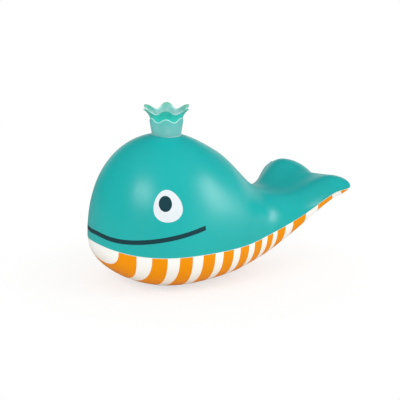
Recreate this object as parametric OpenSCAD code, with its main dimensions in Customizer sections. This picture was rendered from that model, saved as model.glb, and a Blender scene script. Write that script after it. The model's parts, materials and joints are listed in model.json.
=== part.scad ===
// Squeeze bath toy in the form of a whale: a soft back, a hull-shaped belly and a crown that blows bubbles.
// Millimetres, +Z up, nose towards -X, standing on the flat foot at z = 0.

/* [Body lengths] */
// Nose to the crown's axis, where the head is widest
head_length = 51; // [40:1:65]
// Crown's axis to the middle of the back
back_length = 33; // [26:1:42]
// Middle of the back to the waist
waist_length = 28; // [22:1:36]
// Waist to the tail stock
stock_length = 22; // [18:1:28]
// Tail stock to the root of the fluke lobes
fluke_length = 24; // [19:1:30]
// Root of the fluke lobes to their trailing edge
lobe_length = 14; // [11:0.5:18]

/* [Body widths] */
// Widest part of the head
head_width = 98; // [84:1:116]
// Width at the middle of the back
back_width = 88; // [76:1:100]
// Width at the waist
waist_width = 64; // [56:1:78]
// Width at the tail stock
stock_width = 68; // [58:1:78]
// Width at the root of the fluke lobes
fluke_width = 86; // [74:1:100]
// Width over the fluke tips
fluke_span = 94; // [82:1:110]

/* [Back above the seam] */
// Dome of the head
dome_rise = 70; // [60:1:82]
// Middle of the back
back_rise = 55; // [47:1:63]
// Waist
waist_rise = 28; // [24:0.5:32]
// Tail stock
stock_rise = 11.5; // [10:0.5:14]
// Root of the fluke lobes
fluke_rise = 4; // [3:0.1:5]
// Trailing edge of the flukes, before it is rounded
edge_rise = 3; // [2.6:0.1:4]
// Swelling of each fluke lobe between the middle and the tip
lobe_swell = 5; // [3:0.2:6]

/* [Belly below the seam] */
// Depth under the head, before the foot is cut flat
belly_depth = 28.5; // [24:0.5:33]
// Depth under the middle of the back
back_depth = 24.5; // [20:0.5:28]
// Depth under the waist
waist_depth = 23; // [19:0.5:26]
// Depth under the tail stock
stock_depth = 23; // [19:0.5:26]
// Depth under the root of the fluke lobes
fluke_depth = 17.5; // [14:0.5:20]
// Depth under the trailing edge of the flukes, before it is rounded
edge_depth = 12; // [9:0.5:14]
// How much of the belly is cut off flat to stand on
foot_cut = 1.5; // [0.8:0.1:2]

/* [Seam line over its lowest point] */
// At the nose
nose_lift = 2.5; // [0:0.5:6]
// At the middle of the back
back_lift = 0.5; // [0:0.5:3]
// At the waist
waist_lift = 2.5; // [1:0.5:5]
// At the tail stock
stock_lift = 11.5; // [9:0.5:13]
// At the root of the fluke lobes
fluke_lift = 26; // [22:0.5:30]
// At the trailing edge of the flukes
edge_lift = 29.5; // [26:0.5:34]

/* [Shells] */
// Wall of both shells
wall = 2.4; // [1.6:0.1:2.8]
// Depth of the notch between the fluke lobes
notch_depth = 7.5; // [5:0.5:10]
// How far the fluke tips sweep forward
tip_sweep = 11; // [8:0.5:13]
// Rounding of the trailing edge
edge_round = 10.5; // [9:0.5:13]
// Solid margin inside the trailing edge
edge_solid = 10; // [8:0.5:14]
// Height of the belly's tongue inside the back shell
tongue_height = 3; // [2:0.25:4]
// Depth to which the tongue is rooted in the belly's wall
tongue_root = 5; // [4:0.25:5.5]
// Thickness of the tongue
tongue_thickness = 1.6; // [1.2:0.1:2.2]

/* [Crown] */
// Number of petals
petals = 6; // [4:1:9]
// Diameter where the crown meets the head
crown_base_d = 19; // [17.8:0.2:19.8]
// Diameter across the petal tips
crown_tip_d = 33.2; // [29:0.2:38]
// Diameter across the dips between the petals
crown_dip_d = 25.4; // [23:0.2:28]
// Height of the petal tips
crown_tip_h = 18; // [16:0.2:21]
// Height of the dips between the petals
crown_dip_h = 14.7; // [13:0.1:15.2]
// Height of the outer sleeve's wavy edge
sleeve_h = 10.2; // [8.8:0.2:11]
// Half the height of the sleeve's waves
sleeve_wave = 1.1; // [0.5:0.1:1.4]
// Diameter of the outer sleeve at its edge
sleeve_d = 22; // [21:0.2:23.4]
// Step from the sleeve's edge in to the flare
sleeve_step = 0.6; // [0.4:0.1:0.8]
// Wall of the flare
crown_wall = 1.3; // [1:0.1:1.6]
// Thickness of the crown's floor
crown_floor = 2; // [1.6:0.1:3]

/* [Neck] */
// Bore of the neck bush, which takes the crown's spigot
neck_bore_d = 14; // [13:0.2:14.6]
// Wall of the neck bush
bush_wall = 1.5; // [1.2:0.1:1.9]
// Length of the neck bush under its flange
bush_length = 9; // [8.5:0.5:12]
// Diameter of the bush's flange
flange_d = 19.6; // [19.2:0.2:21]
// Thickness of the bush's flange
flange_t = 1.2; // [0.8:0.1:1.6]
// How deep the flange's flat seat is cut into the top of the head
seat_drop = 2; // [1.6:0.1:2.2]
// Thickness of the head wall under that seat
seat_wall = 3.5; // [3:0.25:4]
// Thickness of the soft washer under the head wall
washer_t = 1; // [0.6:0.1:1.5]
// Thickness of the ring nut
nut_t = 3; // [2:0.25:3.4]
// Diameter of the ring nut and its washer
nut_d = 24; // [23:0.5:27]
// Number of spanner slots in the ring nut
nut_slots = 6; // [4:1:8]
// Width and depth of a spanner slot
slot_size = 2; // [1.4:0.2:2.2]
// Length of the crown's spigot
spigot_length = 8; // [7:0.5:9]
// Thickness of the spigot's O-ring
o_ring_t = 1.4; // [1:0.1:1.5]

/* [Outlet valve] */
// Bore of the spigot
outlet_bore_d = 9.2; // [8.4:0.2:9.6]
// Port in the valve seat
outlet_port_d = 5.2; // [4:0.2:6]
// Diameter of the valve disc
outlet_disc_d = 7.4; // [6.6:0.2:7.8]
// Thickness of both valve discs
disc_t = 0.8; // [0.6:0.1:1]
// Lift of the outlet disc
outlet_lift = 1.5; // [1:0.1:1.7]
// Height of the outlet seat
outlet_seat_h = 3; // [2:0.25:4]
// Thickness of the bubble plate
plate_t = 1.2; // [0.8:0.1:2]
// Diameter of the holes in the bubble plate
plate_hole_d = 1.5; // [1.1:0.1:1.7]
// Pitch of those holes
plate_pitch = 2.4; // [2.2:0.1:2.5]
// Stud under the bubble plate that stops the disc
plate_stud_h = 0.8; // [0.5:0.1:1.1]
// Diameter of that stud
plate_stud_d = 2; // [1.4:0.2:2.4]

/* [Intake valve] */
// Place of the intake behind the tail stock
intake_offset = 6; // [2:0.5:9]
// Diameter of the intake's boss
intake_boss_d = 12.4; // [11.6:0.2:14]
// Height of the boss from the outside of the belly
intake_boss_h = 6.4; // [5.6:0.2:7]
// Bore of the boss
intake_bore_d = 9; // [8.2:0.2:9.6]
// How far the bush stays back from the outside of the belly
intake_recess = 0.5; // [0.4:0.1:1]
// Port in the intake bush
intake_port_d = 4; // [3:0.2:5]
// Diameter of the intake disc
intake_disc_d = 6.8; // [6:0.2:7.4]
// Lift of the intake disc
intake_lift = 1.2; // [0.8:0.1:1.6]
// Thickness of the cage's bars
cage_bar_t = 1.2; // [0.8:0.1:1.6]
// Width of the cage's bars
cage_bar_w = 1.6; // [1.2:0.1:2.2]
// Room round the disc inside its cage
cage_room = 0.8; // [0.5:0.1:1]

/* [Ballast] */
// Length of the weight
ballast_length = 38; // [36:1:42]
// Width of the weight
ballast_width = 36; // [30:1:40]
// Thickness of the weight
ballast_t = 9; // [6:0.5:11]
// Corner chamfer of the weight
ballast_corner = 6; // [3:0.5:8]
// Middle of the weight ahead of the crown's axis
ballast_ahead = 6; // [0:1:7]
// Distance between the two pegs
peg_pitch = 26; // [22:1:28]
// Diameter of the pegs
peg_d = 4.8; // [4:0.2:6]
// Thickness of the belly's floor
floor_t = 2.2; // [1.8:0.1:3]
// Height of the ribs over the floor
rib_h = 3.8; // [3:0.2:5]
// Thickness of the ribs
rib_t = 3; // [2:0.25:4]
// Diameter of the caps on the pegs
cap_d = 10; // [8.5:0.5:12]
// Thickness of the caps
cap_t = 2.5; // [2:0.25:3.5]

/* [Fits] */
// Radial clearance of the crown's spigot in the neck bush
slide_fit = 0.05; // [0.02:0.01:0.1]
// Radial clearance where one piece is dropped over another
loose_fit = 0.15; // [0.1:0.05:0.3]

/* [Hidden] */
$fn = 64;

// Colours
teal = "#2fb3ae";
cream = "#f6f3ee";
pale_teal = "#8fd0cb";
clear_grey = "#d7dedd";
black_rubber = "#2b2d30";
steel = "#8d9296";

// Exponents of the superellipses: plan of the head, side of the chin, arch of the back, and arch of the belly
// under the head and from the waist on, where it draws in to a keel
plan_power = 2.25;
chin_power = 2;
back_power = 2.1;
belly_power = 2.3;
keel_power = 1.72;

// Half width of the notch between the lobes, as a share of the fluke, and the exponent of the rounded tips
notch_reach = 0.74;
tip_power = 2.3;

// How the lobes' swelling grows and fades along the stations, and how far out it lies
lobe_shares = [0, 0, 0, 0.5, 1, 0.4];
lobe_power = 1.95;

// How the crown's flare opens
flare_power = 1.7;

// Grids of the outer skins, of the hollow inside, of the tongue and of one petal
skin_stations = 44;
skin_columns = 24;
core_stations = 26;
core_columns = 14;
tongue_steps = 20;
petal_steps = 12;
flare_steps = 5;

// Where in the belly's wall the tongue is rooted, as a share of the wall from outside
tongue_seat = 0.75;

// How far a cutter runs past the face that it cuts, and the flat left at the ends of a skin
past = 1;
hair = 0.02;
least_height = 0.3;

// The sections along the body: each list runs from the head to the trailing edge
stations = [head_length,
            head_length + back_length,
            head_length + back_length + waist_length,
            head_length + back_length + waist_length + stock_length,
            head_length + back_length + waist_length + stock_length + fluke_length,
            head_length + back_length + waist_length + stock_length + fluke_length + lobe_length];
half_widths = [head_width, back_width, waist_width, stock_width, fluke_width, fluke_span] / 2;
rises = [dome_rise, back_rise, waist_rise, stock_rise, fluke_rise, edge_rise];
depths = [belly_depth, back_depth, waist_depth, stock_depth, fluke_depth, edge_depth];
lifts = [0, back_lift, waist_lift, stock_lift, fluke_lift, edge_lift];
swells = lobe_swell * lobe_shares;
last = len(stations) - 1;
body_length = stations[last];
waist_s = stations[2];
stock_s = stations[3];
tongue_end = stations[1];
bend_start = (waist_s + stock_s) / 2;

// Heights of the seam under the crown, the top of the head, the flange's seat and the crown's base
seam_z = belly_depth - foot_cut;
head_top = seam_z + dome_rise;
seat_z = head_top - seat_drop;
crown_z = seat_z + flange_t;
axis_x = head_length - body_length / 2;

// Neck and crown fits
bush_r = neck_bore_d / 2 + bush_wall;
neck_hole_r = bush_r + loose_fit;
washer_top = seat_z - seat_wall;
nut_top = washer_top - washer_t;
spigot_r = neck_bore_d / 2 - slide_fit;
o_ring_r = spigot_r - o_ring_t / 2;
groove_r = spigot_r - o_ring_t - slide_fit;
groove_z = -spigot_length / 2;
groove_half = o_ring_t / 2 + slide_fit;
outlet_bore_r = outlet_bore_d / 2;
ledge_r = (outlet_bore_r + spigot_r) / 2;
cup_r = crown_base_d / 2 - crown_wall - sleeve_step;
plate_r = cup_r - loose_fit;
outlet_top = crown_floor - plate_stud_h - outlet_lift - disc_t;

// Ballast heights
rib_top = floor_t + rib_h;
ballast_top = rib_top + ballast_t;
peg_top = ballast_top + cap_t;
ballast_x = axis_x - ballast_ahead;
front_peg_x = ballast_x - peg_pitch / 2;
rear_peg_x = ballast_x + peg_pitch / 2;
peg_places = [front_peg_x, rear_peg_x];

// Smooth curve through a list's values at the stations, level at the head
function slope_at(list, i) =
    i == 0 ? 0
    : i == last ? (list[i] - list[i - 1]) / (stations[i] - stations[i - 1])
    : (list[i + 1] - list[i - 1]) / (stations[i + 1] - stations[i - 1]);
function span_of(s) = max([for (i = [0:last - 1]) if (i == 0 || s >= stations[i]) i]);
function along(list, s) =
    let (i = span_of(s),
         h = stations[i + 1] - stations[i],
         t = min(max((s - stations[i]) / h, 0), 1))
    (2 * t^3 - 3 * t^2 + 1) * list[i]
    + (t^3 - 2 * t^2 + t) * h * slope_at(list, i)
    + (3 * t^2 - 2 * t^3) * list[i + 1]
    + (t^3 - t^2) * h * slope_at(list, i + 1);

// How full a section is, from the nose to the head and at the trailing edge
function nose_share(s, inset, power) =
    s >= head_length ? 1
    : (1 - min(max((head_length - s) / (head_length - inset), 0), 1) ^ power) ^ (1 / power);
function tail_share(s, end) = sqrt(1 - min(max((s - end + edge_round) / edge_round, 0), 1) ^ 2);

// Sizes of the section at a station, drawn in by inset
function half_width(s, inset) = (along(half_widths, s) - inset) * nose_share(s, inset, plan_power);
function seam_at(s) = seam_z + along(lifts, s) + nose_lift * max(1 - s / head_length, 0) ^ 2;
function rise_at(s, inset, end) =
    s < head_length ? (head_top - inset - seam_at(s)) * nose_share(s, inset, plan_power)
    : max(along(rises, s) - inset, least_height) * tail_share(s, end);
function depth_at(s, inset, end) =
    s < head_length ? (seam_at(s) - seam_z + belly_depth - inset) * nose_share(s, inset, chin_power)
    : max(along(depths, s) - inset, least_height) * tail_share(s, end);

// Exponent of the belly's arch at a station
function keel_at(s) =
    belly_power + (keel_power - belly_power) * min(max((s - head_length) / (waist_s - head_length), 0), 1);

// Swelling of the fluke lobes, and the bend that gives them their notch and swept tips
function swell_at(s, v) = s < waist_s ? 0 : along(swells, s) * sin(180 * abs(v) ^ lobe_power);
function bend_at(s, v) =
    let (grow = max((s - bend_start) / (body_length - bend_start), 0) ^ 2)
    -grow * (notch_depth * max(1 - abs(v) / notch_reach, 0) ^ 2 + tip_sweep * (1 - arch(v, tip_power)));

// One section: a row of points over the back and a row under the belly, which share their ends on the seam
function arch(v, power) = max(1 - abs(v) ^ power, 0) ^ (1 / power);
function across(t, curved) = curved > 0 ? -cos(180 * t) : 2 * t - 1;
function skin_point(s, v, width, height) =
    [s + bend_at(s, v) - body_length / 2, width * v, seam_at(s) + swell_at(s, v) + height];
function section(s, inset, end, up, down, columns) =
    let (w = half_width(s, inset),
         rise = up * rise_at(s, inset, end),
         depth = down * depth_at(s, inset, end))
    [for (j = [0:columns])
        let (v = across(j / columns, up))
        skin_point(s, v, w, rise * arch(v, back_power)),
     for (j = [columns - 1:-1:1])
        let (v = across(j / columns, down))
        skin_point(s, v, w, -depth * arch(v, keel_at(s)))];

// Stations that close up towards the nose and the trailing edge
function station(i, count, start, end) =
    start + hair + (end - start - 2 * hair) * (1 - cos(180 * i / count)) / 2;

// Closed skin over a row of sections
module skin(sections, columns) {
    count = len(sections);
    ring = 2 * columns;
    function under(j) = j == 0 || j == columns ? j : ring - j;
    function cap(base) = [for (j = [0:columns - 1])
        each [if (j < columns - 1) [base + j, base + under(j + 1), base + j + 1],
              if (j > 0) [base + j, base + under(j), base + under(j + 1)]]];
    sides = [for (i = [0:count - 2], j = [0:ring - 1])
        let (a = i * ring + j,
             b = i * ring + (j + 1) % ring)
        each (j < columns ? [[a, b, b + ring], [a, b + ring, a + ring]]
                          : [[a, b, a + ring], [b, b + ring, a + ring]])];
    rear = [for (f = cap((count - 1) * ring)) [f[2], f[1], f[0]]];
    polyhedron([for (s = sections) each s], concat(sides, cap(0), rear));
}
module form(inset, end, up, down, count, columns) {
    sections = [for (i = [0:count])
        section(station(i, count, inset, end), inset, end, up, down, columns)];
    skin(sections, columns);
}

// The hollow that both shells share
module hollow() {
    form(wall, body_length - edge_solid, 1, 1, core_stations, core_columns);
}

// Back: the soft teal shell with the crown's seat on top of the head
module upper_shell() {
    color(teal)
    difference() {
        form(0, body_length, 1, 0, skin_stations, skin_columns);
        difference() {
            hollow();
            translate([axis_x, 0, washer_top]) cylinder(d = nut_d + 2 * wall, h = seat_wall + seat_drop);
        }
        translate([axis_x, 0, washer_top - past]) cylinder(r = neck_hole_r, h = seat_wall + 2 * past);
        translate([axis_x, 0, seat_z]) cylinder(d = flange_d + 2 * loose_fit, h = seat_drop + past);
    }
}

// Tongue round the top of the belly: a tapered rib that starts inside the wall and leans in over the seam
function tongue_point(i, inset, z) =
    let (s = inset + (tongue_end - inset) * (1 - cos(90 * i / tongue_steps)))
    [s - body_length / 2, sign(i) * half_width(s, inset), seam_at(s) + z];
module tongue() {
    root = tongue_seat * wall;
    lean = (wall + loose_fit - root) / tongue_root;
    tip = wall + loose_fit + lean * tongue_height;
    corners = [[root, -tongue_root], [tip, tongue_height],
               [tip + tongue_thickness, tongue_height], [root + tongue_thickness, -tongue_root]];
    ring = len(corners);
    count = 2 * tongue_steps;
    points = [for (i = [-tongue_steps:tongue_steps], c = corners) tongue_point(i, c[0], c[1])];
    sides = [for (i = [0:count - 1], j = [0:ring - 1])
        let (a = i * ring + j,
             b = i * ring + (j + 1) % ring)
        each [[a, b + ring, b], [a, a + ring, b + ring]]];
    first = [[0, 1, 2], [0, 2, 3]];
    rear = [for (f = first) [f[2], f[1], f[0]] + [1, 1, 1] * count * ring];
    polyhedron(points, concat(sides, first, rear));
}

// Frame of the air intake, square to the underside behind the tail stock, with +Z into the body
function keel_point(s) =
    [s + bend_at(s, 0) - body_length / 2, 0, seam_at(s) - depth_at(s, 0, body_length)];
intake_s = stock_s + intake_offset;
intake_run = keel_point(intake_s + past) - keel_point(intake_s - past);
intake_tilt = atan2(intake_run.z, intake_run.x);
module at_intake() {
    translate(keel_point(intake_s)) rotate([0, -intake_tilt, 0]) children();
}

// Belly: the white hull with its flat foot, the tongue, ribs and pegs for the ballast and the intake's boss
module belly_hollow() {
    difference() {
        hollow();
        translate([-body_length, -head_width, -past])
            cube([2 * body_length, 2 * head_width, floor_t + past]);
        for (x = peg_places) {
            translate([x - rib_t / 2, -head_width, 0]) cube([rib_t, 2 * head_width, rib_top]);
            translate([x, 0, 0]) cylinder(d = peg_d, h = peg_top);
        }
        at_intake()
        translate([0, 0, -intake_boss_h]) cylinder(d = intake_boss_d, h = 2 * intake_boss_h);
    }
}
module belly_shell() {
    color(cream) {
        difference() {
            form(0, body_length, 0, 1, skin_stations, skin_columns);
            belly_hollow();
            translate([-body_length, -head_width, -belly_depth])
                cube([2 * body_length, 2 * head_width, belly_depth]);
            at_intake()
            translate([0, 0, -intake_boss_h]) cylinder(d = intake_bore_d, h = 3 * intake_boss_h);
        }
        tongue();
    }
}

// Neck: a flanged bush through the head, drawn up against a soft washer by a ring nut
module neck_bush() {
    color(teal)
    translate([axis_x, 0, seat_z])
    rotate_extrude()
        polygon([[neck_bore_d / 2, -bush_length], [bush_r, -bush_length], [bush_r, 0], [flange_d / 2, 0],
                 [flange_d / 2, flange_t], [neck_bore_d / 2, flange_t]]);
}
module neck_washer() {
    color(black_rubber)
    translate([axis_x, 0, nut_top])
    difference() {
        cylinder(d = nut_d, h = washer_t);
        translate([0, 0, -past]) cylinder(r = neck_hole_r, h = washer_t + 2 * past);
    }
}
module neck_nut() {
    color(cream)
    translate([axis_x, 0, nut_top - nut_t])
    difference() {
        cylinder(d = nut_d, h = nut_t);
        translate([0, 0, -past]) cylinder(r = bush_r, h = nut_t + 2 * past);
        for (i = [0:nut_slots - 1])
            rotate(360 * i / nut_slots)
            translate([nut_d / 2 - slot_size, -slot_size / 2, -past])
                cube([slot_size + past, slot_size, nut_t + 2 * past]);
    }
}

// Crown: the section of its wall at an angle, from the base up the sleeve and the flare and down inside
function rim_r(a) = (crown_tip_d + crown_dip_d + (crown_tip_d - crown_dip_d) * cos(petals * a)) / 4;
function rim_z(a) = (crown_tip_h + crown_dip_h + (crown_tip_h - crown_dip_h) * cos(petals * a)) / 2;
function edge_z(a) = sleeve_h + sleeve_wave * cos(petals * a);
function flare(a, t) =
    let (r = sleeve_d / 2 - sleeve_step,
         z = edge_z(a) + sleeve_step / 2,
         top = rim_z(a) - crown_wall / 4)
    [r + (rim_r(a) - r) * t ^ flare_power, z + (top - z) * t];
function crown_section(a) =
    let (inside = [for (i = [flare_steps:-1:0]) flare(a, i / flare_steps) - [crown_wall, 0]],
         rim = [rim_r(a) - crown_wall / 2, rim_z(a)])
    [[crown_base_d / 2, 0],
     [crown_base_d / 2, 0] + ([sleeve_d / 2, edge_z(a)] - [crown_base_d / 2, 0]) / 2,
     [sleeve_d / 2, edge_z(a)],
     for (i = [0:flare_steps]) flare(a, i / flare_steps),
     rim,
     each inside,
     [cup_r + (sleeve_d - crown_base_d) / 4, edge_z(a) / 2],
     [cup_r, crown_floor],
     [ledge_r, crown_floor],
     [ledge_r, 0]];
module petal_cup() {
    count = petals * petal_steps;
    sections = [for (i = [0:count - 1])
        let (a = 360 * i / count)
        [for (p = crown_section(a)) [p.x * cos(a), p.x * sin(a), p.y]]];
    ring = len(sections[0]);
    sides = [for (i = [0:count - 1], j = [0:ring - 1])
        let (a = i * ring + j,
             b = i * ring + (j + 1) % ring,
             c = ((i + 1) % count) * ring + j,
             d = ((i + 1) % count) * ring + (j + 1) % ring)
        each [[a, b, d], [a, d, c]]];
    polyhedron([for (s = sections) each s], sides);
}
module spigot() {
    rotate_extrude()
        polygon([[outlet_bore_r, -spigot_length], [spigot_r, -spigot_length],
                 [spigot_r, groove_z - groove_half], [groove_r, groove_z - groove_half],
                 [groove_r, groove_z + groove_half], [spigot_r, groove_z + groove_half],
                 [spigot_r, crown_floor / 2], [outlet_bore_r, crown_floor / 2]]);
}
module crown() {
    color(pale_teal)
    translate([axis_x, 0, crown_z]) {
        petal_cup();
        spigot();
    }
}
module crown_o_ring() {
    color(black_rubber)
    translate([axis_x, 0, crown_z + groove_z])
    rotate_extrude()
        translate([o_ring_r, 0]) circle(d = o_ring_t);
}

// Bubble plate: the perforated disc on the crown's floor that the soap film hangs on
function in_plate(p) = norm(p) > plate_stud_d / 2 && norm(p) < ledge_r - plate_hole_d / 2;
module bubble_plate() {
    reach = ceil(plate_r / plate_pitch);
    places = [for (i = [-reach:reach], j = [-reach:reach]) plate_pitch * [i + j / 2, j * sin(60)]];
    color(clear_grey)
    translate([axis_x, 0, crown_z + crown_floor]) {
        difference() {
            cylinder(r = plate_r, h = plate_t);
            for (p = places)
                if (in_plate(p))
                    translate([p.x, p.y, -past]) cylinder(d = plate_hole_d, h = plate_t + 2 * past);
        }
        translate([0, 0, -plate_stud_h]) cylinder(d = plate_stud_d, h = plate_stud_h + plate_t / 2);
    }
}

// Outlet valve in the spigot: a pressed-in seat and a loose disc that air lifts to the plate's stud
module outlet_seat() {
    color(cream)
    translate([axis_x, 0, crown_z + outlet_top - outlet_seat_h])
    difference() {
        cylinder(r = outlet_bore_r, h = outlet_seat_h);
        translate([0, 0, -past]) cylinder(d = outlet_port_d, h = outlet_seat_h + 2 * past);
    }
}
module outlet_disc() {
    color(black_rubber)
    translate([axis_x, 0, crown_z + outlet_top]) cylinder(d = outlet_disc_d, h = disc_t);
}

// Intake valve under the tail: a bush in its boss, a loose disc and the cage that keeps it
module intake_bush() {
    color(cream)
    at_intake()
    difference() {
        translate([0, 0, intake_recess]) cylinder(d = intake_bore_d, h = intake_boss_h - intake_recess);
        translate([0, 0, -past]) cylinder(d = intake_port_d, h = intake_boss_h + 2 * past);
    }
}
module intake_disc() {
    color(black_rubber)
    at_intake() translate([0, 0, intake_boss_h]) cylinder(d = intake_disc_d, h = disc_t);
}
module intake_cage() {
    stop = disc_t + intake_lift;
    inner_r = intake_disc_d / 2 + cage_room;
    color(cream)
    at_intake() translate([0, 0, intake_boss_h]) {
        difference() {
            cylinder(d = intake_boss_d, h = stop + cage_bar_t);
            translate([0, 0, -past]) cylinder(r = inner_r, h = stop + cage_bar_t + 2 * past);
        }
        for (turn = [0, 90])
            rotate(turn)
            translate([-inner_r - cage_room / 2, -cage_bar_w / 2, stop])
                cube([2 * inner_r + cage_room, cage_bar_w, cage_bar_t]);
    }
}

// Ballast: a steel weight over two pegs, held down by a pressed-on cap on each
module ballast_weight() {
    l = ballast_length / 2;
    w = ballast_width / 2;
    c = ballast_corner;
    color(steel)
    difference() {
        translate([ballast_x, 0, rib_top])
        linear_extrude(ballast_t)
            polygon([[-l, c - w], [c - l, -w], [l - c, -w], [l, c - w],
                     [l, w - c], [l - c, w], [c - l, w], [-l, w - c]]);
        for (x = peg_places)
            translate([x, 0, rib_top - past]) cylinder(r = peg_d / 2 + loose_fit, h = ballast_t + 2 * past);
    }
}
module ballast_cap(x) {
    color(black_rubber)
    translate([x, 0, ballast_top])
    rotate_extrude()
        polygon([[peg_d / 2, 0], [cap_d / 2, 0], [cap_d / 2, cap_t / 2],
                 [cap_d / 2 - cap_t / 2, cap_t], [peg_d / 2, cap_t]]);
}
module ballast_cap_front() {
    ballast_cap(front_peg_x);
}
module ballast_cap_rear() {
    ballast_cap(rear_peg_x);
}

upper_shell();
belly_shell();
neck_bush();
neck_washer();
neck_nut();
crown();
crown_o_ring();
bubble_plate();
outlet_seat();
outlet_disc();
intake_bush();
intake_disc();
intake_cage();
ballast_weight();
ballast_cap_front();
ballast_cap_rear();
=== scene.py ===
# %% [markdown]
# # A whale that blows bubbles
# This bath toy is a soft teal whale with a striped belly and a see-through crown. A child squeezes it,
# and the air leaves through a soap film in the crown. The solids of the toy come from a CAD model, so
# its sizes are settled before Blender starts. This lesson dresses that model: it loads it as a fixed
# frame, lays smooth skins, prints and finishes over it, and sets up the floor, the lamps and the camera
# of a small photo studio.

import json
import math

import bmesh
import bpy
import numpy as np
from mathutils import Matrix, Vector


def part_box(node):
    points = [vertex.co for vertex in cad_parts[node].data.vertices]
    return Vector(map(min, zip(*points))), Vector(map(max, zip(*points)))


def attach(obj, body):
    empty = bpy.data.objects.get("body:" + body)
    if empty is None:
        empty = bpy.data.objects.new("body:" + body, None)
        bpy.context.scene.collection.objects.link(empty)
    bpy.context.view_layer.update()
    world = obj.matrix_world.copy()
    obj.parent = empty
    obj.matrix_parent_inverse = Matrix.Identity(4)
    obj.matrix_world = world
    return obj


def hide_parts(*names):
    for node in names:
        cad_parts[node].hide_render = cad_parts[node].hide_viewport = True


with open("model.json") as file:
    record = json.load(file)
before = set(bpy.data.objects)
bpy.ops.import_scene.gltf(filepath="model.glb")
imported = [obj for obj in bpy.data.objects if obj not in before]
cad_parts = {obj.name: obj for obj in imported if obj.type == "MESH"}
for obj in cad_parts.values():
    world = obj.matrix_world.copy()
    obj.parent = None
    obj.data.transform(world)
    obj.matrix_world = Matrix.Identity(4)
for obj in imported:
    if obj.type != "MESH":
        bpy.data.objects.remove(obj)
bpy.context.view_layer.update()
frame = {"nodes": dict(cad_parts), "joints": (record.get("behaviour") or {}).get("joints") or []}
MM = 0.001

# %% [markdown]
# ## The whale's form
# The CAD model describes the body by six stations between the nose and the trailing edge of the tail:
# how wide it is there, how far it rises above the seam between back and belly, and how deep it hangs
# below. A smooth curve runs through each list. The CAD solids are faceted, so we could smooth their
# meshes, but a smoothed facet shrinks and bends. We write the same curves again instead, and sample
# them as finely as the picture needs. Where the photograph shows the brow, the back and the belly
# behind the foot fuller, we let them out by one to three millimetres. All lengths in this part are
# millimetres, and `s` is the distance from the nose.

# %% Stations of the body
STATIONS = np.cumsum([51.0, 33, 28, 22, 24, 14])
HEAD, WAIST, LENGTH = STATIONS[0], STATIONS[2], STATIONS[-1]
HALF_WIDTHS = np.array([98, 88, 64, 68, 86, 94]) / 2
RISES = np.array([70, 56.5, 28.7, 12.1, 4, 3])
DEPTHS = np.array([28.5, 27, 23.7, 22.2, 17.5, 12])
SEAM_LIFTS = np.array([0, 0, 1.8, 10.9, 26, 29.5])
LOBE_HEIGHT = 5.0
LOBE_SWELLS = LOBE_HEIGHT * np.array([0, 0, 0, 0.5, 1, 0.4])
SEAM_Z, HEAD_TOP = 27.0, 97.0
NOSE_LIFT, NOSE_LIFT_POWER = 2.8, 4
PLAN_POWER, BROW_POWER, CHIN_POWER = 2.25, 2.35, 2.0
BACK_POWER, BELLY_POWER, KEEL_POWER = 2.1, 2.3, 1.95
LOBE_POWER, TIP_POWER = 1.95, 2.3
NOTCH_DEPTH, NOTCH_REACH, TIP_SWEEP, EDGE_ROUND = 7.5, 0.74, 11.0, 10.5
BEND_START = (WAIST + STATIONS[3]) / 2
# Thickness of the moulding, length of its solid trailing edge, and least height of an inside
WALL, EDGE_SOLID, LEAST = 2.4, 10.0, 0.3
print("length", LENGTH, "mm, crown's axis", HEAD, "mm behind the nose")


def along(values, s):
    """A smooth curve through the values at the stations, level at the head."""
    slopes = np.zeros(len(values))
    slopes[1:-1] = (values[2:] - values[:-2]) / (STATIONS[2:] - STATIONS[:-2])
    slopes[-1] = (values[-1] - values[-2]) / (STATIONS[-1] - STATIONS[-2])
    i = np.clip(np.searchsorted(STATIONS, s, side="right") - 1, 0, len(values) - 2)
    h = STATIONS[i + 1] - STATIONS[i]
    t = np.clip((s - STATIONS[i]) / h, 0, 1)
    return ((2 * t**3 - 3 * t**2 + 1) * values[i] + (t**3 - 2 * t**2 + t) * h * slopes[i]
            + (3 * t**2 - 2 * t**3) * values[i + 1] + (t**3 - t**2) * h * slopes[i + 1])


# %% Sections of the body, drawn in by an inset where a skin has an inside
def arch(v, power):
    """Height of a rounded arch at a share v of its half width: 1 in the middle, 0 at both ends."""
    return np.clip(1 - np.abs(v) ** power, 0, None) ** (1 / power)


def nose_share(s, inset, power):
    """Share of its full size that the head has reached at s."""
    ahead = np.clip((HEAD - s) / (HEAD - inset), 0, 1)
    return np.where(s >= HEAD, 1, (1 - ahead**power) ** (1 / power))


def tail_share(s, end):
    """Share of its full size that the tail still has at s, with a round trailing edge."""
    return np.sqrt(1 - np.clip((s - end + EDGE_ROUND) / EDGE_ROUND, 0, 1) ** 2)


def half_width(s, inset):
    return (along(HALF_WIDTHS, s) - inset) * nose_share(s, inset, PLAN_POWER)


def seam_at(s):
    """Height of the seam, which rises towards the tail and a little at the nose."""
    nose = np.clip(1 - s / HEAD, 0, None) ** NOSE_LIFT_POWER
    return SEAM_Z + along(SEAM_LIFTS, s) + NOSE_LIFT * nose


def rise_at(s, inset, end):
    """How far the back's ridge lies above the seam."""
    head = (HEAD_TOP - inset - seam_at(s)) * nose_share(s, inset, BROW_POWER)
    return np.where(s < HEAD, head, np.maximum(along(RISES, s) - inset, LEAST) * tail_share(s, end))


def depth_at(s, inset, end):
    """How far the belly's keel lies below the seam."""
    head = (seam_at(s) - SEAM_Z + DEPTHS[0] - inset) * nose_share(s, inset, CHIN_POWER)
    return np.where(s < HEAD, head, np.maximum(along(DEPTHS, s) - inset, LEAST) * tail_share(s, end))


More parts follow.
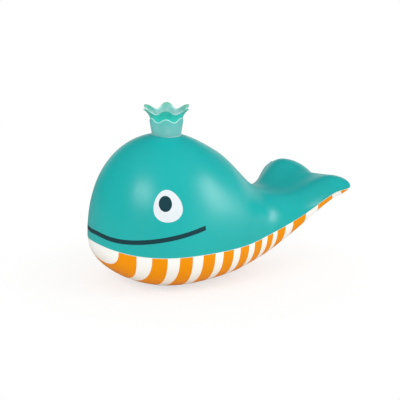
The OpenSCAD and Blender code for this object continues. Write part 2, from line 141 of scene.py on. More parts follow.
def keel_at(s):
    """Exponent of the belly's arch, which draws in to a keel from the head to the waist."""
    return BELLY_POWER + (KEEL_POWER - BELLY_POWER) * np.clip((s - HEAD) / (WAIST - HEAD), 0, 1)


def lay(s, v, inset, height):
    """Points of a skin at stations s and shares v across it, with their height over the seam. An inset
    skin bends as the outer one does at the same y, so that it stays below it at the tips of the tail."""
    y = half_width(s, inset) * v
    v = y / half_width(s, 0)
    grow = np.clip((s - BEND_START) / (LENGTH - BEND_START), 0, None) ** 2
    notch = NOTCH_DEPTH * np.clip(1 - np.abs(v) / NOTCH_REACH, 0, None) ** 2
    sweep = TIP_SWEEP * (1 - arch(v, TIP_POWER))
    swell = np.where(s < WAIST, 0, along(LOBE_SWELLS, s)) * np.sin(math.pi * np.abs(v) ** LOBE_POWER)
    x = s - grow * (notch + sweep) - LENGTH / 2
    return np.stack([x, y, seam_at(s) + swell + height], axis=-1)


def back_skin(s, v, inset, end):
    return lay(s, v, inset, rise_at(s, inset, end) * arch(v, BACK_POWER))


def belly_skin(s, v, inset, end):
    return lay(s, v, inset, -depth_at(s, inset, end) * arch(v, keel_at(s)))


print("head", 2 * half_width(HEAD, 0), "mm wide, waist", 2 * half_width(WAIST, 0), "mm wide")

# %% [markdown]
# ## From sheets to solids
# A moulded shell is a wall: an outside, an inside and the edge that joins them. A Solidify modifier
# could thicken a single sheet, but on the thin fluke its inside would cross itself. We know both sides
# from the same curves, so we lay an outer and an inner grid with the same rows and columns and join
# their borders. The prints use the same helper: a film of ink is a very thin wall.

# %% Helpers that make pieces
SHARP = math.radians(38)
HOLE_SIDES = 128


def soften(mesh):
    """Smooth shading, except over sharp edges."""
    mesh.polygons.foreach_set("use_smooth", [True] * len(mesh.polygons))
    mesh.set_sharp_from_angle(angle=SHARP)


def add_piece(name, points, faces, body, materials):
    """A smooth mesh object from points in millimetres, with its faces outwards, riding on a CAD body."""
    mesh = bpy.data.meshes.new(name)
    mesh.from_pydata((np.asarray(points) * MM).tolist(), [], faces)
    for material in materials:
        mesh.materials.append(material)
    obj = bpy.data.objects.new(name, mesh)
    bpy.context.scene.collection.objects.link(obj)
    bm = bmesh.new()
    bm.from_mesh(mesh)
    bmesh.ops.recalc_face_normals(bm, faces=bm.faces)
    bm.to_mesh(mesh)
    bm.free()
    soften(mesh)
    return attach(obj, body)


def grid_faces(index):
    """The quads of a grid of vertex numbers."""
    corners = np.stack([index[:-1, :-1], index[:-1, 1:], index[1:, 1:], index[1:, :-1]], axis=-1)
    return corners.reshape(-1, 4).tolist()


def border(index):
    """The vertex numbers round a grid, in order."""
    return np.concatenate([index[0, :-1], index[:-1, -1], index[-1, :0:-1], index[:0:-1, 0]])


def wall(name, outer, inner, body, materials):
    """A closed solid between two sheets of points. The outer sheet's faces come first."""
    rows, columns = outer.shape[:2]
    top = np.arange(rows * columns).reshape(rows, columns)
    bottom = top + rows * columns
    edge_a, edge_b = border(top), border(bottom)
    rim = np.stack([edge_a, np.roll(edge_a, -1), np.roll(edge_b, -1), edge_b], axis=-1).tolist()
    points = np.concatenate([outer.reshape(-1, 3), inner.reshape(-1, 3)])
    return add_piece(name, points, grid_faces(top) + grid_faces(bottom) + rim, body, materials)


def carve(obj, centre, axis, radius, length):
    """Cuts a round hole of that length out of obj, with its middle at centre (millimetres)."""
    bpy.ops.mesh.primitive_cylinder_add(
        vertices=HOLE_SIDES, radius=radius * MM, depth=length * MM, location=Vector(centre) * MM,
        rotation=Vector(axis).to_track_quat("Z", "Y").to_euler())
    drill = bpy.context.object
    cut = obj.modifiers.new("cut", "BOOLEAN")
    cut.operation, cut.solver, cut.object = "DIFFERENCE", "EXACT", drill
    shaped = bpy.data.meshes.new_from_object(obj.evaluated_get(bpy.context.evaluated_depsgraph_get()))
    obj.modifiers.clear()
    obj.data = shaped
    bpy.data.objects.remove(drill)
    soften(shaped)


def crowded(start, end, count):
    """Stations that close up towards both ends, where the form turns quickly."""
    return start + (end - start) * (1 - np.cos(np.linspace(0, math.pi, count))) / 2


# %% [markdown]
# ## Finishes as arithmetic
# A material in Blender is a net of nodes. Wiring one by hand takes many lines that hide the idea, so a
# small class wraps an output socket and lets Python's own operators add the Math nodes: `1 - mask` is
# one node. Any other node comes from a single method that takes its type, its settings and its inputs.

# %% The wire and the bench
class Wire:
    """A node's output that can stand in an expression: each operator adds a Math node."""

    def __init__(self, bench, socket):
        self.bench, self.socket = bench, socket

    def math(self, operation, first, second):
        return self.bench.node("ShaderNodeMath", {"operation": operation}, {0: first, 1: second})

    def __add__(self, other):
        return self.math("ADD", self, other)

    def __sub__(self, other):
        return self.math("SUBTRACT", self, other)

    def __rsub__(self, other):
        return self.math("SUBTRACT", other, self)

    def __mul__(self, other):
        return self.math("MULTIPLY", self, other)

    def at_least(self, other):
        return self.math("MAXIMUM", self, other)

    __radd__, __rmul__ = __add__, __mul__


class Bench:
    """A node tree, the one method that adds nodes to it, and short names for the nodes used most."""

    def __init__(self, tree):
        self.tree = tree

    def node(self, kind, settings=None, inputs=None, output=0):
        made = self.tree.nodes.new(kind)
        for key, value in (settings or {}).items():
            setattr(made, key, value)
        for key, value in (inputs or {}).items():
            if isinstance(value, Wire):
                self.tree.links.new(value.socket, made.inputs[key])
            else:
                made.inputs[key].default_value = value
        return Wire(self, made.outputs[output])

    def place(self):
        """Where a point lies on its piece, in metres."""
        return self.node("ShaderNodeTexCoord", output="Object")

    def part(self, vector, axis):
        """One coordinate of a vector."""
        return self.node("ShaderNodeSeparateXYZ", None, {0: vector}, output=axis)

    def noise(self, size, detail=2.0, stretch=1.0):
        """Cloudy noise whose blotches are about size millimetres wide, and stretched upwards."""
        place = self.node("ShaderNodeVectorMath", {"operation": "MULTIPLY"},
                          {0: self.place(), 1: (1, 1, 1 / stretch)})
        return self.node("ShaderNodeTexNoise", None,
                         {"Vector": place, "Scale": 1 / (size * MM), "Detail": detail})

    def ramp(self, value, start, end):
        """Rises from 0 to 1 while a value goes from start to end."""
        return self.node("ShaderNodeMapRange", None,
                         {"Value": value, "From Min": start, "From Max": end})

    def tint(self, share, first, second):
        """A colour between two colours."""
        return self.node("ShaderNodeMix", {"data_type": "RGBA"},
                         {0: share, 6: first, 7: second}, output=2)

    def relief(self, height, depth):
        """A normal from a height that spans depth millimetres."""
        return self.node("ShaderNodeBump", None,
                         {"Height": height, "Distance": depth * MM, "Strength": 1.0})

    def mix(self, share, first, second):
        """A shader between two shaders."""
        return self.node("ShaderNodeMixShader", None, {0: share, 1: first, 2: second})

    def show(self, shader, output):
        """Links a shader to the tree's output node."""
        self.tree.links.new(shader.socket, self.tree.nodes[output].inputs["Surface"])


def shade(colour, factor):
    """A linear colour made lighter or darker, with full alpha."""
    return tuple(min(c * factor, 1.0) for c in colour) + (1.0,)


# %% [markdown]
# Nearly all of the toy is moulded, so its finishes are one recipe with different numbers. Pigment never
# mixes evenly: broad, faint clouds change the colour by a few hundredths. The mould's spark-eroded face
# leaves a grain a few thousandths of a millimetre deep, and where hands have polished it the roughness
# drops. What is the same all over the piece goes straight on the shader's own sockets.

# %% One recipe for moulded surfaces
CLOUD_SHARE, POLISH_SIZE = 0.8, 0.4


def moulded(name, colour, roughness, clouds=30.0, contrast=0.06, grain=0.6, grain_depth=0.008,
            polish=0.08, fixed=None, over=None):
    """A material with pigment clouds, a fine grain and patches of polish; sizes in millimetres.
    A second colour can lie over the first, with a function that gives its share."""
    material = bpy.data.materials.new(name)
    material.use_nodes = True
    bench = Bench(material.node_tree)
    shader = material.node_tree.nodes["Principled BSDF"]
    for socket, value in (fixed or {}).items():
        shader.inputs[socket].default_value = value
    cloud = bench.noise(clouds)
    speck = bench.noise(grain, detail=3.0)
    blend = cloud * CLOUD_SHARE + speck * (1 - CLOUD_SHARE)
    pigment = bench.tint(blend, shade(colour, 1 - contrast), shade(colour, 1 + contrast))
    if over:
        second, share = over
        pigment = bench.tint(share(bench), pigment, shade(second, 1))
    rough = roughness + polish * (bench.noise(clouds * POLISH_SIZE) + speck - 1)
    for socket, wire in (("Base Color", pigment), ("Roughness", rough),
                         ("Normal", bench.relief(speck, grain_depth))):
        bench.tree.links.new(wire.socket, shader.inputs[socket])
    material.diffuse_color = shade(colour, 1)
    return material


TEAL = (0.0015, 0.432, 0.42)
teal_vinyl = moulded("teal_vinyl", TEAL, roughness=0.33, contrast=0.05,
                     fixed={"Specular IOR Level": 0.52})
print("finish", teal_vinyl.name, "with", len(teal_vinyl.node_tree.nodes), "nodes")

# %% [markdown]
# ## The back
# On the real toy the back is one soft moulding from the nose over the head to the tops of the flukes, so
# that it can be squeezed. A fine grid follows the form, with rows closing up at the nose and at the
# trailing edge. The crown plugs into a neck: its flange lies in a flat seat on top of the head, and its
# tube goes through a hole there. Those two rounds are cut with Booleans, because a grid of rows and
# columns has no circle in it.

# %% The teal back
ROWS, COLUMNS = 150, 120
NOSE_TIP = 1e-4
inside_end = LENGTH - EDGE_SOLID
back_shares = -np.cos(np.linspace(0, math.pi, COLUMNS))
back_rows = crowded(NOSE_TIP, LENGTH - NOSE_TIP, ROWS)
lining_rows = crowded(WALL + NOSE_TIP, inside_end - NOSE_TIP, ROWS)
back_outer = back_skin(*np.meshgrid(back_rows, back_shares, indexing="ij"), 0.0, LENGTH)
back_inner = back_skin(*np.meshgrid(lining_rows, back_shares, indexing="ij"), WALL, inside_end)
back = wall("back", back_outer, back_inner, "whale", [teal_vinyl])
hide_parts("upper_shell")

# %% The crown's seat and the neck's hole
SEAT_Z, SEAT_ROOM, TUBE_RADIUS, CUT = 95.0, 0.15, 8.5, 20.0
bush_low, bush_high = (np.array(corner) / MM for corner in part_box("neck_bush"))
neck = (bush_low + bush_high) / 2
seat_radius = (bush_high[0] - bush_low[0]) / 2 + SEAT_ROOM
carve(back, (neck[0], 0, SEAT_Z + CUT / 2), (0, 0, 1), seat_radius, CUT)
carve(back, (neck[0], 0, SEAT_Z), (0, 0, 1), TUBE_RADIUS + SEAT_ROOM, CUT)
print("back:", len(back.data.polygons), "faces, seat radius", round(seat_radius, 2), "mm")

# %% [markdown]
# ## The belly
# The hull is a second moulding, printed with orange stripes. The stripes could be a mask in the shader,
# but a mask is only as crisp as the texture it ends up in. Here the grid has a row at every edge of a
# stripe, and the faces between carry the orange finish, so the print stays sharp at any distance. The
# stripes widen towards the keel, so the row at the rear edge of each bows towards the tail, the more so
# the nearer it is to the nose. A fine white margin is left along the seam, where the print stops short
# of the edge. The foot that the toy stands on is cut flat, and the hull sits a hair inside the back's
# edge, as the lower half of a lipped joint does.

# %% Finishes of the belly
WHITE = (0.90, 0.92, 0.895)
ORANGE = (0.86, 0.295, 0.001)
SATIN = {"Specular IOR Level": 0.08}
belly_white = moulded("belly_white", WHITE, roughness=0.38, contrast=0.02, grain=0.4, grain_depth=0.004,
                      fixed=SATIN)
stripe_orange = moulded("stripe_orange", ORANGE, roughness=0.36, clouds=8.0, contrast=0.05, grain=0.3,
                        grain_depth=0.004, fixed=SATIN)

# %% Rows at the stripes' edges
# Front and rear edge of each stripe at the seam
STRIPES = [(4, 11), (18.5, 27), (34.5, 43), (50.5, 59.5), (66, 74.5), (80.5, 88.5), (94.7, 102.9),
           (108.4, 113.6), (117.2, 123.2), (128.7, 137.8), (146.4, 157), (164.3, 170.4)]
ROW_STEP, NOSE_ROWS, TAIL_ROWS = 1.2, 9, 8
SEAM_STEP = 0.25
hull_end = LENGTH - SEAM_STEP
edges = [edge for stripe in STRIPES for edge in stripe]
runs = [crowded(SEAM_STEP + NOSE_TIP, 2 * edges[0], 2 * NOSE_ROWS - 1)[:NOSE_ROWS]]
for low, high in zip(edges, edges[1:]):
    runs.append(np.linspace(low, high, 1 + math.ceil((high - low) / ROW_STEP))[1:])
runs.append(hull_end - (hull_end - edges[-1]) * np.cos(np.linspace(0, math.pi / 2, TAIL_ROWS))[1:])
hull_rows = np.concatenate(runs)
hull_rows[-1] = hull_end - NOSE_TIP
middles = (hull_rows[1:] + hull_rows[:-1]) / 2
striped = np.array([any(low < middle < high for low, high in STRIPES) for middle in middles])
print(len(hull_rows), "rows,", striped.sum(), "of them orange")

# %% The striped hull
# Width of the white margin, and the most of the depth that it takes on the thin tail
MARGIN, MARGIN_SHARE = 0.4, 0.14
# How far a stripe's rear edge bows at the keel near the nose, and where the bowing ends
BOW, BOW_END = 5.0, 140.0
INNER_FLOOR = 2.2
margins = np.minimum(MARGIN / depth_at(hull_rows, SEAM_STEP, hull_end), MARGIN_SHARE)
reach = arch(margins, keel_at(hull_rows))
hull_shares = np.pad(-np.cos(np.linspace(0, math.pi, COLUMNS - 2)) * reach[:, None], ((0, 0), (1, 1)))
hull_shares[:, 0], hull_shares[:, -1] = -1, 1
rear_edge = np.interp(hull_rows, edges, [0, 1] * len(STRIPES))
bows = BOW * np.clip(1 - hull_rows / BOW_END, 0, None) * rear_edge
hull_s = hull_rows[:, None] + bows[:, None] * (1 - hull_shares**2)
lining_s = np.interp(hull_s, hull_rows[[0, -1]], [WALL + NOSE_TIP, inside_end - NOSE_TIP])
hull_outer = belly_skin(hull_s, hull_shares, SEAM_STEP, hull_end)
hull_inner = belly_skin(lining_s, hull_shares, WALL, inside_end)
hull_inner[..., 2] = np.maximum(hull_inner[..., 2], INNER_FLOOR)
belly = wall("belly", hull_outer, hull_inner, "whale", [belly_white, stripe_orange])
painted = np.zeros((len(hull_rows) - 1, COLUMNS - 1), int)
painted[:, 1:-1] = striped[:, None]
indices = np.zeros(len(belly.data.polygons), int)
indices[:painted.size] = painted.ravel()
belly.data.polygons.foreach_set("material_index", indices.tolist())
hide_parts("belly_shell")

# %% The flat foot and the air intake
ON_PLANE = 1e-7
INTAKE_RADIUS = 4.52
bm = bmesh.new()
bm.from_mesh(belly.data)
bmesh.ops.bisect_plane(bm, geom=bm.verts[:] + bm.edges[:] + bm.faces[:], dist=ON_PLANE,
                       plane_co=(0, 0, 0), plane_no=(0, 0, 1))
for vertex in bm.verts:
    vertex.co.z = max(vertex.co.z, 0.0)
bm.to_mesh(belly.data)
bm.free()
soften(belly.data)
intake_low, intake_high = (np.array(corner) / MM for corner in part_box("intake_bush"))
intake_axis = next(j["axis"] for j in frame["joints"] if j["name"] == "intake_valve_lift")
carve(belly, (intake_low + intake_high) / 2, intake_axis, INTAKE_RADIUS, CUT)
print("belly:", len(belly.data.polygons), "faces")

# %% [markdown]
# ## The face
# Eyes and mouth are pad-printed: a soft pad presses a film of ink onto the curved head. We do the same.
# Each print starts as a grid in front of the head and is pressed inwards until it meets the form.
# Bisection finds that place for all points at once. Then the film gets its thickness, along the form's
# own normals. A shrinkwrap modifier would do as well, but it follows facets and not the form.

# %% Press points onto the head
INK, INK_ROOT = 0.05, 0.1
TRAVEL, HALVINGS = 60.0, 40


def outside(points):
    """Tells which points lie outside the back of the whale."""
    s = np.clip(points[..., 0] + LENGTH / 2, NOSE_TIP, LENGTH - NOSE_TIP)
    across = np.abs(points[..., 1]) / half_width(s, 0)
    up = np.clip(points[..., 2] - seam_at(s), 0, None) / rise_at(s, 0, LENGTH)
    return (across**BACK_POWER + up**BACK_POWER > 1) | (points[..., 0] < NOSE_TIP - LENGTH / 2)


def press(points, inwards):
    """Moves each point along its inward direction until it meets the head."""
    near, far = np.zeros(points.shape[:-1]), np.full(points.shape[:-1], TRAVEL)
    for _ in range(HALVINGS):
        middle = (near + far) / 2
        free = outside(points + inwards * middle[..., None])
        near, far = np.where(free, middle, near), np.where(free, far, middle)
    return points + inwards * near[..., None]


def print_film(name, sheet, inwards, material, lift=INK):
    """A film of ink over a sheet of points on the head, rooted a little below it."""
    normals = np.cross(np.gradient(sheet, axis=0), np.gradient(sheet, axis=1))
    normals /= np.linalg.norm(normals, axis=-1, keepdims=True)
    normals *= -np.sign((normals * inwards).sum(axis=-1, keepdims=True))
    film = wall(name, sheet + lift * normals, sheet - INK_ROOT * normals, "whale", [material])
    print(name, len(film.data.polygons), "faces")


# %% Inks
NAVY = (0.012, 0.05, 0.065)
EYE_WHITE = (0.73, 0.79, 0.835)
eye_ink = moulded("eye_ink", EYE_WHITE, roughness=0.36, clouds=6.0, contrast=0.02, grain=0.25,
                  grain_depth=0.003, fixed=SATIN)
dark_ink = moulded("dark_ink", NAVY, roughness=0.4, clouds=6.0, contrast=0.1, grain=0.25,
                   grain_depth=0.003, fixed=SATIN)

# %% Eyes: an egg of white ink, and a darker oval on it
EYE_CENTRE = np.array([-56.5, -40.5, 59.5])
EYE_TURN, EYE_TILT = math.radians(68.3), math.radians(19)
STAND_OFF = 8.0
eye_out = np.array([-math.cos(EYE_TILT) * math.cos(EYE_TURN), -math.cos(EYE_TILT) * math.sin(EYE_TURN),
                    math.sin(EYE_TILT)])
eye_right = np.cross([0, 0, 1], eye_out) / math.cos(EYE_TILT)
eye_up = np.cross(eye_out, eye_right)


def oval(centre, half_size, taper, lean, count):
    """A grid over an egg in the eye's plane, pressed onto the head. The egg narrows upwards by taper."""
    grid = np.linspace(-1, 1, count)
    a, b = np.meshgrid(grid, grid, indexing="ij")
    x, y = a * np.sqrt(1 - b**2 / 2), b * np.sqrt(1 - a**2 / 2)
    u, v = half_size[0] * x * (1 - taper * y), half_size[1] * y
    turned_u = centre[0] + u * math.cos(lean) - v * math.sin(lean)
    turned_v = centre[1] + u * math.sin(lean) + v * math.cos(lean)
    start = EYE_CENTRE + STAND_OFF * eye_out
    return press(start + turned_u[..., None] * eye_right + turned_v[..., None] * eye_up, -eye_out)


white_oval = oval(centre=(0, 0.2), half_size=(9.05, 10.3), taper=0.19, lean=math.radians(5.7), count=49)
pupil_oval = oval(centre=(-1.5, 1.6), half_size=(4.15, 5.05), taper=0.0, lean=0.0, count=37)
for side, mirror in (("left", np.array([1, 1, 1])), ("right", np.array([1, -1, 1]))):
    print_film("eye_white_" + side, white_oval * mirror, -eye_out * mirror, eye_ink)
    print_film("eye_pupil_" + side, pupil_oval * mirror, -eye_out * mirror, dark_ink, lift=2 * INK)

# %% Mouth: a line of ink round the nose
MOUTH_END, MOUTH_HALF = 92.0, 1.45
MOUTH_LOW, MOUTH_CURL, CURL_POWER, DIMPLE = 36.0, 8.2, 1.6, 25.0
NOSE_PEAK, PEAK_SPREAD = 0.6, 12.0
MOUTH_COLUMNS, MOUTH_ROWS = 281, 9


def mouth_height(turn):
    """Height of the mouth's middle at an angle from the nose, in degrees."""
    curl = np.clip((np.abs(turn) - DIMPLE) / (MOUTH_END - DIMPLE), 0, None) ** CURL_POWER
    return MOUTH_LOW + MOUTH_CURL * curl + NOSE_PEAK * np.exp(-(turn / PEAK_SPREAD) ** 2)


turn, width = np.meshgrid(np.linspace(-MOUTH_END, MOUTH_END, MOUTH_COLUMNS),
                          np.linspace(-1, 1, MOUTH_ROWS), indexing="ij")
inwards = np.stack([np.cos(np.radians(turn)), np.sin(np.radians(turn)), 0 * turn], axis=-1)
start = np.array([HEAD - LENGTH / 2, 0, 0]) - TRAVEL * inwards
start[..., 2] = mouth_height(turn) + MOUTH_HALF * width
print_film("mouth", press(start, inwards), inwards, dark_ink)

# %% [markdown]
# ## The crown
# The crown is one see-through moulding: a sleeve with a wavy edge, a trumpet that opens into petals, a
# floor for the bubble plate and a spigot that plugs into the neck. It is a turned shape whose section
# changes with the angle, so we write the section once, as corners that are rounded a little, and let the
# petals' wave move the corners. Joining the sections all round gives a closed solid.

# %% Section of the crown
PETALS, PETAL_STEPS = 6, 24
BASE_R, SLEEVE_R, SLEEVE_STEP, CROWN_WALL, CROWN_FLOOR = 9.5, 11.0, 0.6, 1.3, 2.0
SPIGOT_R, BORE_R, SPIGOT_LENGTH, GROOVE_R, GROOVE_HALF = 6.95, 4.6, 8.0, 5.5, 0.75
CUP_R, CUP_TAPER = BASE_R - CROWN_WALL - SLEEVE_STEP, 0.7
RIM_R, RIM_WAVE_R, RIM_Z, RIM_WAVE_Z = 14.65, 1.95, 16.35, 1.65
SLEEVE_Z, SLEEVE_WAVE = 10.2, 1.1
FLARE_STEPS, FLARE_POWER = 9, 1.7
# Radii of the corners, the steps in each, and the most of a side that a corner takes
SOFT, EDGE_SOFT, LIP_SOFT, SPIGOT_SOFT, SHOULDER_SOFT = 0.2, 0.25, 0.45, 0.3, 0.1
CORNER_STEPS, LEG_SHARE = 4, 0.45
# Zones of the section, in the order of their finishes
SLEEVE, EDGE, FLARE, LIP, INSIDE = range(5)
crown_z = bush_high[2]


def rounded(corners):
    """A path through corners (r, z, radius, zone), each rounded by its radius, and each step's zone."""
    path, zones = [], []
    for k, (r, z, radius, zone) in enumerate(corners):
        here = np.array([r, z])
        legs = [np.array(corners[(k + side) % len(corners)][:2]) - here for side in (-1, 1)]
        first, last = (here + leg * min(radius / np.linalg.norm(leg), LEG_SHARE) for leg in legs)
        for t in np.linspace(0, 1, CORNER_STEPS if radius else 1):
            path.append((1 - t) ** 2 * first + 2 * t * (1 - t) * here + t**2 * last)
            zones.append(zone)
    return np.array(path), zones


def crown_section(angle):
    """The section at an angle, from the sleeve's foot over the rim and down the inside to the spigot."""
    wave = math.cos(PETALS * angle)
    rim_r, rim_z = RIM_R + RIM_WAVE_R * wave, RIM_Z + RIM_WAVE_Z * wave
    edge_z = SLEEVE_Z + SLEEVE_WAVE * wave
    foot_r, foot_z = SLEEVE_R - SLEEVE_STEP, edge_z + SLEEVE_STEP / 2
    climb = np.linspace(0, 1, FLARE_STEPS)
    flare_r = foot_r + (rim_r - foot_r) * climb**FLARE_POWER
    flare = np.stack([flare_r, foot_z + (rim_z - foot_z) * climb], axis=-1)
    corners = [(BASE_R, 0, SOFT, SLEEVE), (SLEEVE_R, edge_z, EDGE_SOFT, EDGE), (*flare[0], SOFT, FLARE)]
    corners += [(*point, 0, FLARE) for point in flare[1:-1]]
    corners += [(rim_r, rim_z, LIP_SOFT, LIP), (rim_r - CROWN_WALL, rim_z, LIP_SOFT, LIP)]
    corners += [(r - CROWN_WALL, z, 0, INSIDE) for r, z in flare[-2::-1]]
    groove_low, groove_high = -SPIGOT_LENGTH / 2 - GROOVE_HALF, -SPIGOT_LENGTH / 2 + GROOVE_HALF
    plug = [(CUP_R + CUP_TAPER, edge_z / 2, 0), (CUP_R, CROWN_FLOOR, SOFT), (BORE_R, CROWN_FLOOR, SOFT),
            (BORE_R, -SPIGOT_LENGTH, SOFT), (SPIGOT_R, -SPIGOT_LENGTH, SPIGOT_SOFT),
            (SPIGOT_R, groove_low, 0), (GROOVE_R, groove_low, 0),
            (GROOVE_R, groove_high, 0), (SPIGOT_R, groove_high, 0), (SPIGOT_R, 0, SHOULDER_SOFT)]
    return rounded(corners + [(*corner, INSIDE) for corner in plug])


# %% [markdown]
# The crown's plastic is tinted and frosted. Where the sleeve doubles the wall it scatters more light and
# looks paler, and the single wall of the flare is a deeper green. The light that gathers at cut edges is
# painted: the sleeve's wavy edge and the dips of the lip carry painted highlights, and the sleeve's foot
# a painted glow. One clear material over ray-traced layers would need a much longer render to show this,
# so each zone of the section has its own mix of the same recipe.

# %% Finishes of the crown, one for each zone
# The sleeve's second colour is painted light: a paler glow at its foot.
SLEEVE_GREEN, SLEEVE_PAINTED_GLOW = (0.13, 0.64, 0.60), (0.37, 0.76, 0.76)
# The edge's pale colour is a painted highlight.
EDGE_HIGHLIGHT = (0.60, 0.90, 0.89)
FLARE_GREEN = (0.045, 0.72, 0.61)
# The lip's pale colour is a painted highlight in the dips; the tips keep their green.
LIP_HIGHLIGHT, LIP_GREEN = (0.52, 0.88, 0.84), (0.21, 0.64, 0.48)
CUP_PALE, CUP_GREEN = (0.50, 0.84, 0.87), (0.12, 0.62, 0.48)
CLEAR_IOR = 1.40
STREAK_SIZE, STREAK_STRETCH, STREAK_START, STREAK_FULL = 4.0, 2.5, 0.38, 0.66
PAINTED_GLOW_EVEN = 0.5
TIP_GREEN, TIP_STREAKS, TIP_PALE = 0.85, 0.5, 0.15
LIP_DIP, LIP_TIP = 0.6, 0.8


def frosted(name, colour, clear, over=None):
    return moulded(name, colour, roughness=0.3, clouds=5.0, contrast=0.06, grain=0.5, grain_depth=0.004,
                   fixed={"Transmission Weight": clear, "IOR": CLEAR_IOR}, over=over)


def climb_share(bench, start, end):
    """Rises from 0 to 1 between two heights over the crown's seat."""
    height = bench.part(bench.place(), "Z")
    return bench.ramp(height, (crown_z + start) * MM, (crown_z + end) * MM)


def streaks(bench):
    """Streaks that run up the petals."""
    return bench.ramp(bench.noise(STREAK_SIZE, stretch=STREAK_STRETCH), STREAK_START, STREAK_FULL)


def painted_foot_glow(bench):
    """Painted light at the sleeve's foot, standing for light that comes up through the neck; streaks
    break it up.
    """
    return climb_share(bench, SLEEVE_Z, 0) * (PAINTED_GLOW_EVEN + (1 - PAINTED_GLOW_EVEN) * streaks(bench))


def petal_tips(bench):
    """The tips, where a single wall shows its own green, and the streaks below them."""
    tips = climb_share(bench, SLEEVE_Z, RIM_Z + RIM_WAVE_Z)
    return TIP_GREEN * tips + TIP_STREAKS * streaks(bench) - TIP_PALE


def lip_tips(bench):
    """The lip's high places, which keep their green; lower, in the dips, the edge has a painted
    highlight where it faces the light.
    """
    return climb_share(bench, RIM_Z - LIP_DIP, RIM_Z + LIP_TIP)


# The sleeve carries a painted glow at its foot, and the edge and the lip carry painted highlights.
crown_finishes = [frosted("crown_sleeve_painted_glow", SLEEVE_GREEN, clear=0.2, over=(SLEEVE_PAINTED_GLOW, painted_foot_glow)),
                  frosted("crown_edge_highlight", EDGE_HIGHLIGHT, clear=0.1),
                  frosted("crown_flare", FLARE_GREEN, clear=0.2),
                  frosted("crown_lip_highlight", LIP_HIGHLIGHT, clear=0.1, over=(LIP_GREEN, lip_tips)),
                  frosted("crown_inside", CUP_PALE, clear=0.2, over=(CUP_GREEN, petal_tips))]

# %% The crown
angles = np.linspace(0, 2 * math.pi, PETALS * PETAL_STEPS, endpoint=False)
loops = np.array([crown_section(angle)[0] for angle in angles])
zones = crown_section(0)[1]
radii, heights = loops[..., 0], loops[..., 1]
points = np.stack([neck[0] + radii * np.cos(angles)[:, None], radii * np.sin(angles)[:, None],
                   crown_z + heights], axis=-1)
index = np.pad(np.arange(radii.size).reshape(radii.shape), ((0, 1), (0, 1)), mode="wrap")
crown = add_piece("petal_crown", points.reshape(-1, 3), grid_faces(index), "crown", crown_finishes)
crown.data.polygons.foreach_set("material_index", zones * len(angles))
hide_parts("crown")
print("crown:", len(crown.data.polygons), "faces, top at", round(float(points[..., 2].max()), 1), "mm")

# %% [markdown]
# ## Pieces that stay as the CAD drew them
# The neck's flange, the bubble plate, the valves and the ballast are turned and drilled shapes that the
# CAD model already has exactly. They keep their meshes and only get finishes: clear plastic for the
# neck, made pale as painted light under the crown's foot, clear plastic for the plate, dull white for
# the inner mouldings, soft black for the seals, harder black for the caps and zinc for the weight.

# %% Finishes of the inner pieces
# The neck's clear plastic is made pale as painted light, a bright line under the crown's foot.
NECK_PAINTED_LIGHT, PLATE_PALE = (0.62, 0.90, 0.90), (0.62, 0.86, 0.84)
BONE = (0.78, 0.77, 0.73)
SOOT, COAL = (0.022, 0.023, 0.025), (0.035, 0.037, 0.04)
ZINC = (0.55, 0.57, 0.59)
neck_clear_painted_light = moulded("neck_clear_painted_light", NECK_PAINTED_LIGHT, roughness=0.3, clouds=5.0, grain=0.4, grain_depth=0.004,
                     fixed={"Transmission Weight": 0.25, "IOR": CLEAR_IOR})
plate_clear = moulded("plate_clear", PLATE_PALE, roughness=0.25, clouds=4.0, contrast=0.04, grain=0.4,
                      grain_depth=0.003, fixed={"Transmission Weight": 0.5, "IOR": CLEAR_IOR})
dull_white = moulded("dull_white", BONE, roughness=0.5, clouds=8.0, contrast=0.04)
seal_black = moulded("seal_black", SOOT, roughness=0.62, clouds=4.0, contrast=0.15, grain=0.2,
                     grain_depth=0.01)
cap_black = moulded("cap_black", COAL, roughness=0.5, clouds=6.0, contrast=0.1, grain=0.4)
zinc = moulded("zinc", ZINC, roughness=0.36, clouds=5.0, contrast=0.18, grain=1.2, grain_depth=0.01,
               polish=0.2, fixed={"Metallic": 1.0})
finishes = {neck_clear_painted_light: ["neck_bush"], plate_clear: ["bubble_plate"],
            dull_white: ["neck_nut", "outlet_seat", "intake_bush", "intake_cage"],
            seal_black: ["neck_washer", "crown_o_ring", "outlet_disc", "intake_disc"],
            cap_black: ["ballast_cap_front", "ballast_cap_rear"], zinc: ["ballast_weight"]}
for finish, nodes in finishes.items():
    for name in nodes:
        for slot in frame["nodes"][name].material_slots:
            slot.material = finish
print("finished", sum(map(len, finishes.values())), "CAD nodes")

# %% [markdown]
# ## The studio
# The photograph's highlights show two soft boxes, and its soft shade a wide, weaker light above, over
# white paper. A wide floor takes a faint shadow round the foot and turns into plain white further off.
# The world is white too, to the camera and through the crown's clear wall. Rays that come off a gloss
# see less of it: a low backdrop behind the toy and on the tail's side, a dimmer floor, and a dark room
# above. If all of it were white, every edge of the vinyl would look fogged. The lamps stay at a level at
# which colours come out as they are mixed.

# %% Floor
FLOOR_SIZE = 6.0
PAPER = (0.95, 0.90, 0.85, 1)
LIT, UNLIT = (1, 1, 1, 1), (0, 0, 0, 1)
SHADE_CENTRE, SHADE_NEAR, SHADE_FAR, SHADE_SHARE = (-0.02, 0, 0), 0.03, 0.13, 0.32
# Share of the floor's light that a gloss shows
GLOSS_LEVEL = 0.28
half = FLOOR_SIZE / 2
floor_mesh = bpy.data.meshes.new("floor")
floor_mesh.from_pydata([(-half, -half, 0), (half, -half, 0), (half, half, 0), (-half, half, 0)], [],
                       [(0, 1, 2, 3)])
floor = bpy.data.objects.new("floor", floor_mesh)
bpy.context.scene.collection.objects.link(floor)
sweep = bpy.data.materials.new("white_sweep")
sweep.use_nodes = True
floor_mesh.materials.append(sweep)


def seen_rays(bench):
    """1 for rays that show the background: to the camera, off a gloss or through the crown."""
    return [bench.node("ShaderNodeLightPath", output=name)
            for name in ("Is Camera Ray", "Is Glossy Ray", "Is Transmission Ray")]


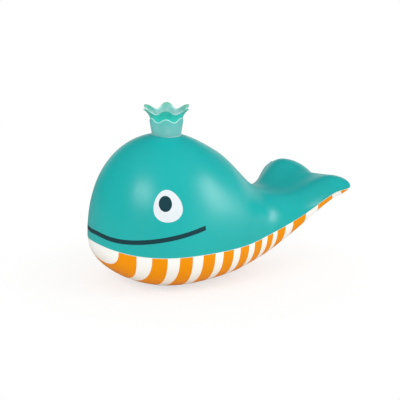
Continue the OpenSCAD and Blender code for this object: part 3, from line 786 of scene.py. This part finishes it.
bench = Bench(sweep.node_tree)
away = bench.node("ShaderNodeVectorMath", {"operation": "DISTANCE"},
                  {0: bench.place(), 1: SHADE_CENTRE}, output="Value")
whiteness = 1 - SHADE_SHARE * bench.ramp(away, SHADE_FAR, SHADE_NEAR)
to_camera, off_gloss, through = seen_rays(bench)
paper = bench.node("ShaderNodeBsdfDiffuse", None, {"Color": PAPER})
glow = bench.node("ShaderNodeEmission", None, {"Color": LIT, "Strength": 1.0})
unlit = bench.node("ShaderNodeEmission", None, {"Color": UNLIT, "Strength": 0.0})
surface = bench.mix(whiteness * (to_camera + off_gloss + through), paper, glow)
bench.show(bench.mix(off_gloss * (1 - GLOSS_LEVEL), surface, unlit), "Material Output")
print("floor shaded up to", SHADE_FAR, "m from the toy's middle")

# %% World
AMBIENT, ROOM, BACKDROP = 0.66, 0.03, 1.0
# Parts of the ray's direction between which the backdrop comes up
BACKDROP_TOP, BACKDROP_FULL = 0.4, 0.05
SIDE_START, SIDE_FULL = 0.0, 0.6
BEHIND, BEHIND_START, BEHIND_FULL = (0.5, 0.866, 0), 0.75, 0.95
world = bpy.data.worlds.new("studio")
world.use_nodes = True
bpy.context.scene.world = world
air = Bench(world.node_tree)
outwards = air.node("ShaderNodeTexCoord", output="Generated")
low = air.ramp(air.part(outwards, "Z"), BACKDROP_TOP, BACKDROP_FULL)
tailwards = air.ramp(air.part(outwards, "X"), SIDE_START, SIDE_FULL)
facing = air.node("ShaderNodeVectorMath", {"operation": "DOT_PRODUCT"},
                  {0: outwards, 1: BEHIND}, output="Value")
behind = air.ramp(facing, BEHIND_START, BEHIND_FULL)
backdrop = ROOM + (BACKDROP - ROOM) * low * tailwards.at_least(behind)
to_camera, off_gloss, through = seen_rays(air)
level = to_camera + through + off_gloss * backdrop + AMBIENT * (1 - to_camera - through - off_gloss)
dark = air.node("ShaderNodeBackground", None, {"Color": UNLIT, "Strength": 0.0})
white = air.node("ShaderNodeBackground", None, {"Color": LIT, "Strength": 1.0})
air.show(air.mix(level, dark, white), "World Output")
print("world of strength", AMBIENT)

# %% Soft boxes and camera
AIM = Vector((-10.2, -0.4, 49.2)) * MM
CAMERA_LENS = 150


def aim(obj, azimuth, elevation, distance):
    """Puts a lamp or a camera at an azimuth (0 looks along +Y) and an elevation, facing the toy."""
    a, e = math.radians(azimuth), math.radians(elevation)
    ray = Vector((math.sin(a) * math.cos(e), -math.cos(a) * math.cos(e), math.sin(e)))
    obj.location = AIM + ray * distance
    obj.rotation_euler = ray.to_track_quat("Z", "Y").to_euler()
    bpy.context.scene.collection.objects.link(obj)


def soft_box(name, size, watts, azimuth, elevation, distance):
    lamp = bpy.data.lights.new(name, "AREA")
    lamp.shape, lamp.size, lamp.size_y, lamp.energy = "RECTANGLE", size[0], size[1], watts
    aim(bpy.data.objects.new(name, lamp), azimuth, elevation, distance)


soft_box("soft_box_left", size=(0.68, 0.43), watts=4.9, azimuth=-63, elevation=34, distance=1.2)
soft_box("soft_box_right", size=(0.46, 0.56), watts=5.2, azimuth=49, elevation=23, distance=1.2)
soft_box("soft_box_top", size=(2.6, 2.6), watts=1.8, azimuth=0, elevation=88, distance=1.5)
camera = bpy.data.objects.new("camera", bpy.data.cameras.new("camera"))
camera.data.lens = CAMERA_LENS
aim(camera, azimuth=-30, elevation=14, distance=1.1)
bpy.context.scene.camera = camera
bpy.context.scene.view_settings.view_transform = "Standard"
